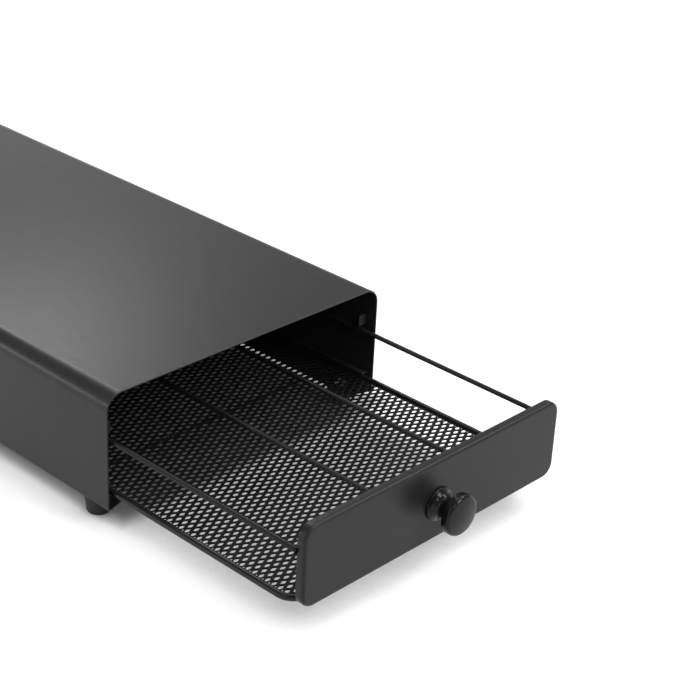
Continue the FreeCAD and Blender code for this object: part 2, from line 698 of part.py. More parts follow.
def rear_post(number):
    """An upright wire at the back, between the frame rod and the upper wire."""
    rod = cylinder(f"post_{number}", "sizes.wire_radius", "places.post_height")
    across = f"({number} - 3.5) * sizes.lane_pitch / 2"
    in_drawer(rod, f"rear_post_{number}", across, "places.rod_back", "places.post_z")


def wire_clip(side, sign):
    """A nylon block on the upper wire that stops and steadies the drawer."""
    body = new_body(f"{side}_clip")
    low = (f"{sign}places.clip_inner", "places.wire_z - sizes.clip_below")
    high = (f"{sign}places.clip_outer", "places.clip_top")
    section = box_outline(body, f"{side}_clip_section", "XZ_Plane", low, high)
    solid = pad(body, section, "sizes.clip_length", backward=True)
    solid = fillet(body, solid, "sizes.clip_round", lambda edge: runs_along(edge, "z"))
    groove = circles(body, f"{side}_clip_bore", "XZ_Plane", [
        (f"{sign}places.rod_x", "places.wire_z", "sizes.wire_radius + sizes.thread_play")])
    pocket(body, groove, "sizes.clip_length", backward=False)
    in_drawer(body, f"{side}_wire_clip", y="places.clip_y")


def close_with_crown(sketch, radius, rise, top):
    """Join an open profile's ends by an arc whose centre is on the upright axis."""
    doc.recompute()
    ball = (radius ** 2 + rise ** 2) / (2 * rise)
    circle = Part.Circle(Vector(0, top - ball, 0), Vector(0, 0, 1), ball)
    last = sketch.GeometryCount - 1
    start = math.pi / 2 - math.asin(radius / ball)
    arc = sketch.addGeometry(Part.ArcOfCircle(circle, start, math.pi / 2), False)
    sketch.addConstraint(Sketcher.Constraint("Coincident", last, 2, arc, 1))
    sketch.addConstraint(Sketcher.Constraint("Coincident", arc, 2, 0, 1))
    sketch.addConstraint(Sketcher.Constraint("PointOnObject", arc, 3, -2))


def turn_hollow(body, name):
    """Turn the hollow of the knob's neck: one arc between its two shoulders."""
    sketch = new_sketch(body, name, "XZ_Plane")
    low = Vector(size("knob_shoulder"), size("knob_hollow_low"), 0)
    high = Vector(size("knob_shoulder"), place("hollow_high"), 0)
    radius = place("hollow_radius")
    centre = Vector(size("knob_neck_radius") + radius, (low.y + high.y) / 2, 0)
    swing = math.asin((high.y - low.y) / 2 / radius)
    side = sketch.addGeometry(Part.LineSegment(low, high), False)
    circle = Part.Circle(centre, Vector(0, 0, 1), radius)
    arc = sketch.addGeometry(Part.ArcOfCircle(circle, math.pi - swing, math.pi + swing), False)
    sketch.addConstraint(Sketcher.Constraint("Coincident", side, 2, arc, 1))
    sketch.addConstraint(Sketcher.Constraint("Coincident", arc, 2, side, 1))
    for point, height in ((1, "sizes.knob_hollow_low"), (2, "places.hollow_high")):
        hold(sketch, "X", side, point, "sizes.knob_shoulder")
        hold(sketch, "Y", side, point, height)
    index = sketch.addConstraint(Sketcher.Constraint("Radius", arc, radius))
    sketch.setExpression(f"Constraints[{index}]", "places.hollow_radius")
    feature = body.newObject("PartDesign::Groove", name + "_turned")
    feature.Profile = sketch
    feature.ReferenceAxis = (sketch, ["V_Axis"])
    feature.Angle = 360
    doc.recompute()
    return feature


def knob():
    """A turned knob: rosette, hollowed neck and a thick round head with a low crown."""
    body = new_body("pull")
    bore = "sizes.screw_radius + sizes.thread_play"
    head = "sizes.knob_head_radius"
    back = "sizes.knob_back_bevel"
    front = "sizes.knob_front_bevel"
    profile = outline(body, "pull_profile", "XZ_Plane", [
        ("0", "sizes.knob_reach"), ("0", "sizes.knob_bore"), (bore, "sizes.knob_bore"),
        (bore, "0"), ("sizes.knob_base_radius", "0"),
        ("sizes.knob_base_radius", "sizes.knob_base_edge"),
        ("sizes.knob_shoulder", "sizes.knob_hollow_low"),
        ("sizes.knob_shoulder", "places.hollow_high"),
        (f"{head} - {back}", "places.head_back"), (head, f"places.head_back + {back}"),
        (head, f"places.head_face - {front}"),
        (f"{head} - 0.3 * {front}", f"places.head_face - 0.3 * {front}"),
        ("places.face_radius", "places.head_face"),
    ], closed=False)
    close_with_crown(profile, place("face_radius"), size("knob_crown"), size("knob_reach"))
    revolve(body, profile)
    turn_hollow(body, "pull_hollow")
    in_drawer(body, "knob", z="places.knob_z", turn=Rotation(Vector(1, 0, 0), 90))


def knob_screw():
    """A pan head screw from behind the panel into the knob."""
    body = new_body("pull_screw")
    head = "sizes.screw_head_radius"
    profile = outline(body, "pull_screw_profile", "XZ_Plane", [
        ("0", "-sizes.screw_head"), (f"{head} - sizes.screw_head_bevel", "-sizes.screw_head"),
        (head, "sizes.screw_head_bevel - sizes.screw_head"), (head, "0"),
        ("sizes.screw_radius", "0"), ("sizes.screw_radius", "places.knob_screw_length"),
        ("0", "places.knob_screw_length"),
    ])
    revolve(body, profile)
    in_drawer(body, "knob_screw", y="places.washer_y", z="places.knob_z",
              turn=Rotation(Vector(1, 0, 0), 90))


def knob_washer():
    """A washer between the panel and the knob screw's head."""
    disc = cylinder("washer_disc", "sizes.washer_radius", "sizes.washer_height")
    bore = cylinder("washer_bore", "sizes.screw_radius + sizes.screw_play",
                    "sizes.washer_height")
    washer = doc.addObject("Part::Cut", "washer")
    washer.Base = disc
    washer.Tool = bore
    in_drawer(washer, "knob_washer", y="places.washer_y", z="places.knob_z",
              turn=Rotation(Vector(1, 0, 0), 90))


def check_document():
    """Stop if an object failed to build or a sub-part is missing its solid."""
    doc.recompute()
    for obj in doc.Objects:
        if "Invalid" in obj.State or "Error" in obj.State:
            raise RuntimeError(f"{obj.Label} failed: {obj.State}")
    for label, obj in parts.items():
        if obj.Shape.isNull() or not obj.Shape.isValid() or not obj.Shape.Solids:
            raise RuntimeError(f"{label} has no valid solid")


def export_parts():
    """Write one STEP file for each sub-part."""
    os.makedirs("parts", exist_ok=True)
    for label, obj in parts.items():
        obj.Shape.exportStep(f"parts/{label}.step")


SIDES = (("left", "-"), ("right", ""))
CORNERS = [
    (f"{end}_{side}", f"{sign}places.foot_x", y)
    for end, y in (("front", "sizes.foot_end_inset"), ("rear", "places.foot_back"))
    for side, sign in SIDES
]

casing_shell()
back_panel()
for side, sign in SIDES:
    runner(side, sign)
    stop_tab(side, sign)
for corner, x, y in CORNERS:
    foot(corner, x, y)
    foot_screw(corner, x, y)
    foot_nut(corner, x, y)
front_panel()
bottom_frame()
upper_wire()
mesh_floor()
for side, sign in SIDES:
    divider(side, sign)
    wire_clip(side, sign)
for number in range(1, 4):
    floor_support(number)
for number in range(1, 7):
    rear_post(number)
knob()
knob_screw()
knob_washer()

check_document()
export_parts()
print(f"{len(parts)} sub-parts written")
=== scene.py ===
import json
import math

import bmesh
import bpy
from mathutils import Matrix, Vector


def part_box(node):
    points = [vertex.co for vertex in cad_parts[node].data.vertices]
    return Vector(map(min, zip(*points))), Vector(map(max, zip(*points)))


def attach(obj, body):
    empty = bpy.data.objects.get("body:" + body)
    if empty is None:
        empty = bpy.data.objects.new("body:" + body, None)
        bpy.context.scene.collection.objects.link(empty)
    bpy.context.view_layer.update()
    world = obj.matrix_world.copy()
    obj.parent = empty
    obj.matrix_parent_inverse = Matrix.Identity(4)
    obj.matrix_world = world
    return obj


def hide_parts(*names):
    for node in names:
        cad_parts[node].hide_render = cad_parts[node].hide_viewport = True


# Looks of a coffee pod drawer organizer, in metres in the part's own frame. The pieces made
# here stand in for plain solids of the same outline; the other solids are shown as they are.

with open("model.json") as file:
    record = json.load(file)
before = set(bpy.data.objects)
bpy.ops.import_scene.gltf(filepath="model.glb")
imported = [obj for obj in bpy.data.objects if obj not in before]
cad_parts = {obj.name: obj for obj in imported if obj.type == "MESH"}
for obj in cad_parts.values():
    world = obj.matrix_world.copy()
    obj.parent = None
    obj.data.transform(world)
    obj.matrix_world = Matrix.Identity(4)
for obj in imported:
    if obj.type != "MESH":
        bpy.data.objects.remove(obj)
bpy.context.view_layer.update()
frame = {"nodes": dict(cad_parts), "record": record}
nodes = frame["nodes"]
MM = 0.001


# shader nodes that are used in more than one place

def map_range(tree, source, from_min, from_max, to_min, to_max=1.0):
    """A map range node on a socket, held at both its ends."""
    node = tree.nodes.new("ShaderNodeMapRange")
    for label, value in (("From Min", from_min), ("From Max", from_max),
                         ("To Min", to_min), ("To Max", to_max)):
        node.inputs[label].default_value = value
    tree.links.new(source, node.inputs["Value"])
    return node


def calculated(tree, operation, first, second):
    """The outcome of a math node on a socket and a second socket or number."""
    node = tree.nodes.new("ShaderNodeMath")
    node.operation = operation
    tree.links.new(first, node.inputs[0])
    if isinstance(second, bpy.types.NodeSocket):
        tree.links.new(second, node.inputs[1])
    else:
        node.inputs[1].default_value = second
    return node.outputs["Value"]


def mixed(tree, factor, first, second):
    """The first shader where the factor is zero, the second where it is one."""
    node = tree.nodes.new("ShaderNodeMixShader")
    tree.links.new(factor, node.inputs["Fac"])
    tree.links.new(first, node.inputs[1])
    tree.links.new(second, node.inputs[2])
    return node.outputs["Shader"]


# materials, all procedural over the object's own coordinates

NOISE_LOW = 0.3
NOISE_HIGH = 0.7


def material(name, color, roughness):
    """A new node material; returns it with its shader."""
    mat = bpy.data.materials.new(name)
    mat.use_nodes = True
    shader = mat.node_tree.nodes["Principled BSDF"]
    shader.inputs["Base Color"].default_value = (*color, 1.0)
    shader.inputs["Roughness"].default_value = roughness
    return mat, shader


def noise(mat, scale, detail=3.0, rough=0.6):
    """Noise over the object's own coordinates."""
    tree = mat.node_tree
    coords = tree.nodes.new("ShaderNodeTexCoord")
    texture = tree.nodes.new("ShaderNodeTexNoise")
    texture.inputs["Scale"].default_value = scale
    texture.inputs["Detail"].default_value = detail
    texture.inputs["Roughness"].default_value = rough
    tree.links.new(coords.outputs["Object"], texture.inputs["Vector"])
    return texture.outputs["Fac"]


def wear(mat, shader, source, low, high):
    """Roughness that wanders between two values with a noise."""
    spread = map_range(mat.node_tree, source, NOISE_LOW, NOISE_HIGH, low, high)
    mat.node_tree.links.new(spread.outputs["Result"], shader.inputs["Roughness"])


def tint(mat, shader, source, dark, light):
    """Colour that wanders between two tones with a noise."""
    tree = mat.node_tree
    ramp = tree.nodes.new("ShaderNodeValToRGB")
    ramp.color_ramp.elements[0].position = NOISE_LOW
    ramp.color_ramp.elements[0].color = (*dark, 1.0)
    ramp.color_ramp.elements[1].position = NOISE_HIGH
    ramp.color_ramp.elements[1].color = (*light, 1.0)
    tree.links.new(source, ramp.inputs["Fac"])
    tree.links.new(ramp.outputs["Color"], shader.inputs["Base Color"])


def relief(mat, shader, heights):
    """Bump from (height, distance, strength) layers, laid one over the other."""
    tree = mat.node_tree
    below = None
    for height, distance, strength in heights:
        bump = tree.nodes.new("ShaderNodeBump")
        bump.inputs["Distance"].default_value = distance
        bump.inputs["Strength"].default_value = strength
        tree.links.new(height, bump.inputs["Height"])
        if below is not None:
            tree.links.new(below, bump.inputs["Normal"])
        below = bump.outputs["Normal"]
    tree.links.new(below, shader.inputs["Normal"])


def powder_coat(name, tone, roughness, gloss):
    """Satin black powder coat: fine orange peel over a faint slow wave."""
    mat, shader = material(name, (tone,) * 3, roughness)
    shader.inputs["Specular IOR Level"].default_value = gloss
    patches = noise(mat, 60.0, 2.0)
    peel = noise(mat, 2600.0, 2.0, 0.5)
    wave = noise(mat, 420.0, 2.0, 0.5)
    tint(mat, shader, patches, (tone * 0.95,) * 3, (tone * 1.05,) * 3)
    wear(mat, shader, wave, roughness - 0.03, roughness + 0.03)
    relief(mat, shader, [(wave, 0.03 * MM, 0.5), (peel, 0.02 * MM, 0.7)])
    return mat


def gloss_black():
    """Glossy black plastic with the faintest waviness."""
    mat, shader = material("gloss_black", (0.008, 0.008, 0.009), 0.1)
    shader.inputs["Specular IOR Level"].default_value = 0.18
    slow = noise(mat, 90.0, 1.0)
    specks = noise(mat, 900.0, 3.0)
    tint(mat, shader, slow, (0.006, 0.006, 0.007), (0.010, 0.010, 0.011))
    wear(mat, shader, specks, 0.11, 0.15)
    relief(mat, shader, [(slow, 0.02 * MM, 0.3)])
    return mat


def rubber():
    """Dull black rubber with a fine pitted skin."""
    mat, shader = material("black_rubber", (0.018, 0.018, 0.018), 0.75)
    pits = noise(mat, 1500.0, 4.0)
    tint(mat, shader, noise(mat, 200.0), (0.014,) * 3, (0.024,) * 3)
    wear(mat, shader, pits, 0.66, 0.86)
    relief(mat, shader, [(pits, 0.08 * MM, 0.6)])
    return mat


def nylon():
    """Matte black nylon with a spark-eroded grain."""
    mat, shader = material("black_nylon", (0.02, 0.02, 0.02), 0.5)
    grain = noise(mat, 2200.0, 3.0)
    tint(mat, shader, noise(mat, 150.0), (0.017,) * 3, (0.025,) * 3)
    wear(mat, shader, grain, 0.42, 0.58)
    relief(mat, shader, [(grain, 0.04 * MM, 0.6)])
    return mat


def zinc():
    """Bright zinc plate with fine turning marks and a cloudy tone."""
    mat, shader = material("zinc_plate", (0.62, 0.63, 0.66), 0.3)
    shader.inputs["Metallic"].default_value = 1.0
    cloud = noise(mat, 350.0)
    fine = noise(mat, 3000.0, 4.0)
    tint(mat, shader, cloud, (0.50, 0.51, 0.54), (0.70, 0.70, 0.73))
    wear(mat, shader, fine, 0.22, 0.40)
    relief(mat, shader, [(fine, 0.02 * MM, 0.5)])
    return mat


MATERIALS = {
    "casing_coat": powder_coat("casing_powder", 0.019, 0.33, 0.30),
    "front_coat": powder_coat("front_powder", 0.015, 0.34, 0.19),
    "wire_coat": powder_coat("wire_powder", 0.012, 0.23, 0.22),
    "knob": gloss_black(),
    "rubber": rubber(),
    "nylon": nylon(),
    "zinc_steel": zinc(),
}

for row in frame["record"]["subparts"]:
    mesh = nodes[row["node"]].data
    mesh.materials.clear()
    mesh.materials.append(MATERIALS[row["material_slot"]])


# meshes from rows of points

def add_piece(name, points, faces, body, slot, smooth=True):
    """A new mesh piece that rides on a body."""
    mesh = bpy.data.meshes.new(name)
    mesh.from_pydata([Vector(p) for p in points], [], faces)
    mesh.validate()
    mesh.update()
    for polygon in mesh.polygons:
        polygon.use_smooth = smooth
    mesh.materials.append(MATERIALS[slot])
    piece = bpy.data.objects.new(name, mesh)
    bpy.context.scene.collection.objects.link(piece)
    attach(piece, body)
    return piece


def bands(rows, count, closed=False):
    """Quads between neighbouring rings of `count` points; `closed` joins last to first."""
    faces = []
    for r in range(rows if closed else rows - 1):
        a, b = r * count, (r + 1) % rows * count
        for k in range(count):
            n = (k + 1) % count
            faces.append((a + k, a + n, b + n, b + k))
    return faces


def ends(rows, count):
    """Flat faces over the first and the last ring, facing out as the bands do."""
    return [tuple(reversed(range(count))), tuple(range((rows - 1) * count, rows * count))]


def turned_over(faces):
    """The same faces, facing the other way."""
    return [tuple(reversed(face)) for face in faces]


def arc(centre, radius, start, end, steps):
    """Points and outward normals along an arc in a plane, angles in degrees."""
    made = []
    for i in range(steps + 1):
        angle = math.radians(start + (end - start) * i / steps)
        normal = (math.cos(angle), math.sin(angle))
        made.append(((centre[0] + radius * normal[0], centre[1] + radius * normal[1]), normal))
    return made


def bow(centre, radius, start, end, steps):
    """Only the points of an arc."""
    return [point for point, _ in arc(centre, radius, start, end, steps)]


# casing skin: the folded sheet with softly rounded edges at both ends

CASING_SHEET = 1.0 * MM
FOLD_RADIUS = 9.0 * MM
FOLD_STEPS = 24
FOOT_FOLD_RADIUS = 1.8 * MM
FOOT_FOLD_STEPS = 6
FLANGE = 14.0 * MM
SETBACK = 4.0 * MM
EDGE_ROUND = 0.46 * MM
EDGE_ANGLES = (90, 65, 40, 20, 0)


def casing_section(lo, hi):
    """Outer line of the folded sheet with its normals, from one flange to the other."""
    half = hi[0]
    base, top = lo[2], hi[2]
    line = [((half - FLANGE, base), (0.0, -1.0))]
    line += arc((half - FOOT_FOLD_RADIUS, base + FOOT_FOLD_RADIUS), FOOT_FOLD_RADIUS,
                -90, 0, FOOT_FOLD_STEPS)
    line += arc((half - FOLD_RADIUS, top - FOLD_RADIUS), FOLD_RADIUS, 0, 90, FOLD_STEPS)
    mirrored = [((-p[0], p[1]), (-n[0], n[1])) for p, n in reversed(line)]
    return line + mirrored


def casing_skin():
    """Sweep the section from front to back, drawing the sheet in at its ends."""
    lo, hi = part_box("casing_shell")
    section = casing_section(lo, hi)
    count = len(section)
    rounds = [math.radians(angle) for angle in EDGE_ANGLES]
    stations = []
    for end, inward, angles in ((lo[1], 1, rounds), (hi[1], -1, rounds[::-1])):
        for angle in angles:
            y = end + inward * EDGE_ROUND * (1 - math.sin(angle))
            stations.append((y, EDGE_ROUND * (1 - math.cos(angle)), inward > 0))
    points = []
    for y, inset, front in stations:
        for depth in (inset, CASING_SHEET - inset):
            for (x, z), (nx, nz) in section:
                shift = 0.0
                if front and z < lo[2] + 0.1 * MM and nz < -0.99:
                    # the flange's front edge runs back towards its inner corner
                    reach = hi[0] - CASING_SHEET - abs(x)
                    shift = max(SETBACK * reach / (FLANGE - CASING_SHEET), 0.0)
                points.append((x - nx * depth, y + shift, z - nz * depth))
    faces = []
    ring = 2 * count
    for s in range(len(stations) - 1):
        a, b = s * ring, (s + 1) * ring
        for i in range(count - 1):
            faces.append((a + i, a + i + 1, b + i + 1, b + i))
            faces.append((a + count + i + 1, a + count + i, b + count + i, b + count + i + 1))
        faces.append((a + count, a, b, b + count))
        faces.append((a + count - 1, a + 2 * count - 1, b + 2 * count - 1, b + count - 1))
    last = (len(stations) - 1) * ring
    for i in range(count - 1):
        faces.append((i, count + i, count + i + 1, i + 1))
        faces.append((last + i, last + i + 1, last + count + i + 1, last + count + i))
    piece = add_piece("casing_skin", points, faces, "casing", "casing_coat")
    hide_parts("casing_shell")


casing_skin()


# pressed pans: the drawer's front and the casing's back, one sheet with a bent rim each

PAN_SHEET = 0.8 * MM
PAN_LAND = 0.6 * MM
CORNER_STEPS = 14
OUTER_BEND_STEPS = 8
LIP_STEPS = 8
INNER_BEND_STEPS = 6
SHARPEST_TURN = 0.02 * MM
FRONT_CORNERS = (7 * MM, 7 * MM)
FRONT_BEND = 1.5 * MM
BACK_CORNERS = (9 * MM, 3 * MM)
BACK_BEND = 1.4 * MM


def round_outline(half, low, high, top_radius, foot_radius, inset):
    """Points of a rectangle with round corners, drawn in by `inset`.

    A corner that is drawn in past its radius stays as a very sharp one, so that every
    outline has the same number of points.
    """
    line = []
    for across, edge, up, radius, start in (
            (1, low, 1, foot_radius, -90), (1, high, -1, top_radius, 0),
            (-1, high, -1, top_radius, 90), (-1, low, 1, foot_radius, 180)):
        turn = max(radius - inset, SHARPEST_TURN)
        centre = (across * (half - inset - turn), edge + up * (inset + turn))
        line += bow(centre, turn, start, start + 90, CORNER_STEPS)
    return line


def pressed_pan(name, node, body, slot, radii, bend, opens):
    """A flat face, a bend all round and a rim whose cut edge is rounded.

    Each step is how far its outline is drawn in and how far it lies behind the face;
    `opens` is 1 for a rim that stands towards +Y and -1 for one towards -Y.
    """
    lo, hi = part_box(node)
    face, edge = (lo[1], hi[1]) if opens > 0 else (hi[1], lo[1])
    depth = abs(edge - face)
    lip = PAN_SHEET / 2
    inner = bend - PAN_SHEET
    steps = [(bend + PAN_LAND, 0.0)]
    steps += bow((bend, bend), bend, -90, -180, OUTER_BEND_STEPS)
    steps += bow((lip, depth - lip), lip, 180, 0, LIP_STEPS)
    steps += bow((bend, bend), inner, -180, -90, INNER_BEND_STEPS)
    steps += [(bend + PAN_LAND, PAN_SHEET)]
    points = []
    for inset, back in steps:
        for x, z in round_outline(hi[0], lo[2], hi[2], *radii, inset):
            points.append((x, face + opens * back, z))
    count = len(points) // len(steps)
    faces = bands(len(steps), count) + ends(len(steps), count)
    if opens > 0:
        faces = turned_over(faces)
    piece = add_piece(name, points, faces, body, slot)
    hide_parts(node)


pressed_pan("pressed_front", "front_panel", "drawer", "front_coat",
            FRONT_CORNERS, FRONT_BEND, 1)
pressed_pan("pressed_back", "back_panel", "casing", "casing_coat",
            BACK_CORNERS, BACK_BEND, -1)


# drawn wires: frame rod, upper wire, lane wires, posts and the wires under the floor

ROD_RADIUS = 1.75 * MM
ROD_BEND = 9.0 * MM
BEND_STEPS = 14
WIRE_SIDES = 28
WIRE_BEVEL = 0.2 * MM


def wire(name, node, path, radius, up, closed=False):
    """A round wire along a flat path, its sheared ends a little broken."""
    rise = Vector(up)
    spots = [Vector(p) for p in path]
    radii = [radius] * len(spots)
    if not closed:
        first, last = spots[0], spots[-1]
        start = (spots[1] - first).normalized() * WIRE_BEVEL
        end = (last - spots[-2]).normalized() * WIRE_BEVEL
        spots = [first, first + start] + spots[1:-1] + [last - end, last]
        radii = [radius - WIRE_BEVEL] + [radius] * (len(spots) - 2) + [radius - WIRE_BEVEL]
    count = len(spots)
    points = []
    for i, spot in enumerate(spots):
        before = spots[i - 1] if closed or i else spot
        after = spots[(i + 1) % count] if closed or i < count - 1 else spot
        side = (after - before).normalized().cross(rise)
        for k in range(WIRE_SIDES):
            angle = 2 * math.pi * k / WIRE_SIDES
            points.append(spot + (side * math.cos(angle) + rise * math.sin(angle)) * radii[i])
    faces = bands(count, WIRE_SIDES, closed)
    if not closed:
        faces += ends(count, WIRE_SIDES)
    piece = add_piece(name, points, turned_over(faces), "drawer", "wire_coat")
    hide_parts(node)


def bent(corners, bend, closed):
    """A path's corners replaced by round bends."""
    path = []
    count = len(corners)
    for i, corner in enumerate(corners):
        here = Vector(corner)
        if not closed and i in (0, count - 1):
            path.append(here)
            continue
        before = (Vector(corners[i - 1]) - here).normalized()
        after = (Vector(corners[(i + 1) % count]) - here).normalized()
        centre = here + (before + after) * bend
        for k in range(BEND_STEPS + 1):
            angle = math.radians(90 * k / BEND_STEPS)
            path.append(centre - after * bend * math.cos(angle) - before * bend * math.sin(angle))
    return path


def drawer_wires():
    """Every wire of the drawer, on the centre lines of its solids."""
    lo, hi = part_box("bottom_frame")
    radius = (hi[2] - lo[2]) / 2
    x, front, back = hi[0] - radius, lo[1] + radius, hi[1] - radius
    z = lo[2] + radius
    corners = [(x, front, z), (x, back, z), (-x, back, z), (-x, front, z)]
    wire("frame_rod", "bottom_frame", bent(corners, ROD_BEND, True), radius, (0, 0, 1), True)
    lo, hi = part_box("upper_wire")
    radius = (hi[2] - lo[2]) / 2
    z = lo[2] + radius
    corners = [(x, lo[1], z), (x, back, z), (-x, back, z), (-x, lo[1], z)]
    wire("upper_rail", "upper_wire", bent(corners, ROD_BEND, False), radius, (0, 0, 1))
    straight = [f"{side}_divider" for side in ("left", "right")]
    straight += [f"floor_support_{number}" for number in range(1, 4)]
    straight += [f"rear_post_{number}" for number in range(1, 7)]
    for node in straight:
        lo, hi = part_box(node)
        reach = [hi[i] - lo[i] for i in range(3)]
        along = reach.index(max(reach))
        radius = min(reach) / 2
        start = [(lo[i] + hi[i]) / 2 for i in range(3)]
        end = list(start)
        start[along], end[along] = lo[along], hi[along]
        middle = [(a + b) / 2 for a, b in zip(start, end)]
        up = (1, 0, 0) if along == 2 else (0, 0, 1)
        wire(f"{node}_wire", node, [start, middle, end], radius, up)


drawer_wires()


# fine expanded metal between the frame rods

MESH_LONG = 7.6 * MM
MESH_SHORT = 4.1 * MM
HOLE_LONG = 4.3 * MM
HOLE_SHORT = 1.8 * MM
MESH_SHEET = 0.55 * MM
MESH_TILT = 0.30 * MM
MESH_SUNK = 0.75 * ROD_RADIUS
OUTER_TIPS = [(1, 0), (0.5, 0.5), (0, 1), (-0.5, 0.5),
              (-1, 0), (-0.5, -0.5), (0, -1), (0.5, -0.5)]
INNER_TIPS = [(1, 0), (0.55, 0.62), (0, 1), (-0.55, 0.62),
              (-1, 0), (-0.55, -0.62), (0, -1), (0.55, -0.62)]
TIPS = len(OUTER_TIPS)


class RoundFrame:
    """The rectangle with round corners that the mesh is welded into."""

    def __init__(self, half, front, back, radius):
        self.half = half
        self.front = front
        self.back = back
        self.radius = radius

    def held(self, x, y):
        """The point itself, or where it leaves the frame; and whether it was inside."""
        core_x = self.half - self.radius
        low, high = self.front + self.radius, self.back - self.radius
        near_x = max(-core_x, min(core_x, x))
        near_y = max(low, min(high, y))
        dx, dy = x - near_x, y - near_y
        reach = math.hypot(dx, dy)
        if reach <= self.radius:
            return x, y, True
        share = self.radius / reach
        return near_x + dx * share, near_y + dy * share, False


def expanded_mesh():
    """Staggered diamond cells; each strand leans, as slit and stretched sheet does."""
    lo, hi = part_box("mesh_floor")
    middle = (lo + hi) / 2
    frame_line = RoundFrame(hi[0] + MESH_SUNK, lo[1] - MESH_SUNK, hi[1] + MESH_SUNK,
                            ROD_BEND - ROD_RADIUS + MESH_SUNK)
    points = []
    faces = []
    index = {}
    rim = {}

    def vertex(x, y, z):
        """The number of a point, the same for points that fall together."""
        key = (round(x * 1e7), round(y * 1e7), round(z * 1e7))
        if key not in index:
            index[key] = len(points)
            points.append((x, y, z))
        return index[key]

    def face(*corners):
        """A face without repeated corners, if three or more are left."""
        distinct = list(dict.fromkeys(corners))
        if len(distinct) > 2:
            faces.append(tuple(distinct))

    columns = int(2 * frame_line.half / MESH_LONG) + 2
    rows = int((frame_line.back - frame_line.front) / MESH_SHORT) + 2
    for i in range(-columns, columns + 1):
        for j in range(-rows, rows + 1):
            if (i + j) % 2:
                continue
            cx = i * MESH_LONG / 2
            cy = middle[1] + j * MESH_SHORT / 2
            if not frame_line.held(cx, cy)[2]:
                continue
            rings = []
            for tips, size_x, size_y in ((OUTER_TIPS, MESH_LONG, MESH_SHORT),
                                         (INNER_TIPS, HOLE_LONG, HOLE_SHORT)):
                for side in (1, -1):
                    ring = []
                    for dx, dy in tips:
                        lean = MESH_TILT * dy if tips is INNER_TIPS else 0.0
                        x, y, _ = frame_line.held(cx + dx * size_x / 2, cy + dy * size_y / 2)
                        ring.append(vertex(x, y, middle[2] + side * MESH_SHEET / 2 + lean))
                    rings.append(ring)
            top_out, low_out, top_in, low_in = rings
            for k in range(TIPS):
                n = (k + 1) % TIPS
                face(top_out[k], top_out[n], top_in[n], top_in[k])
                face(low_out[n], low_out[k], low_in[k], low_in[n])
                face(top_in[k], top_in[n], low_in[n], low_in[k])
                edge = frozenset((top_out[k], top_out[n]))
                rim.setdefault(edge, []).append((top_out[n], top_out[k], low_out[k], low_out[n]))
    for walls in rim.values():
        if len(walls) == 1:
            face(*walls[0])
    piece = add_piece("expanded_mesh", points, faces, "drawer", "wire_coat", smooth=False)
    # painted shade: the mesh gets a darker, duller copy of the wire coat, as if shaded by pods
    # standing on it
    piece.data.materials[0] = powder_coat("mesh_powder_painted_shade", 0.008, 0.46, 0.06)
    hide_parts("mesh_floor")


expanded_mesh()


# turned pieces: knob, rubber feet and screws, their profiles in millimetres

KNOB_BASE = 8.6
KNOB_SEAT_ROUND = 0.35
KNOB_EDGE_ROUND = 0.5
KNOB_EDGE_HEIGHT = 0.65
KNOB_NECK = 5.2
KNOB_HOLLOW = 4.94
KNOB_MIDDLE = 5.7
KNOB_HEAD = 10.4
KNOB_RIM_ROUND = 1.9
KNOB_BACK_ROUND = 0.6
KNOB_FACE = 15.2
KNOB_BACK = 10.4
KNOB_CROWN = 0.8

FOOT_TURNS = 64
FOOT_BASE = 6.0
FOOT_TOP = 7.0
FOOT_BORE = 2.2
FOOT_RECESS = 3.7
FOOT_RECESS_TOP = 5.0
FOOT_RECESS_ROUND = 0.4
FOOT_LIP = 4.1
FOOT_LIP_ROUND = 0.45
FOOT_HEEL_ROUND = 0.9
FOOT_TOP_ROUND = 0.35

SCREW_TURNS = 72
SCREW_HEAD = 2.4
SCREW_HEAD_RADIUS = 3.4
SCREW_HEAD_ROUND = 0.85
SCREW_SHANK = 2.0
THREAD_PLAIN = 0.6
THREAD_PITCH = 0.5
THREAD_CREST = 1.98
THREAD_ROOT = 1.72
THREAD_END = 1.95
TIP_RADIUS = 1.5
TIP_BEVEL = 0.5

RECESS_ARM = 0.42 * MM
RECESS_REACH = 1.55 * MM
RECESS_WALL = 0.12 * MM
RECESS_DEPTH = 1.25 * MM
RECESS_POINT = 2.6 * MM


def lathe(name, profile, place, axis, body, slot, replaced,
          turns=96, lift=None, closed=False):
    """Turn (radius, height) pairs about an axis; `lift` may move a point along it."""
    along = Vector(axis).normalized()
    across = along.orthogonal().normalized()
    side = along.cross(across)
    points = []
    for radius, height in ((r * MM, h * MM) for r, h in profile):
        for k in range(turns):
            angle = 2 * math.pi * k / turns
            x, y = radius * math.cos(angle), radius * math.sin(angle)
            rise = lift(x, y, height) if lift else 0.0
            points.append(Vector(place) + across * x + side * y + along * (height + rise))
    faces = bands(len(profile), turns, closed)
    if not closed:
        faces += ends(len(profile), turns)
    piece = add_piece(name, points, faces, body, slot)
    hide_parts(replaced)


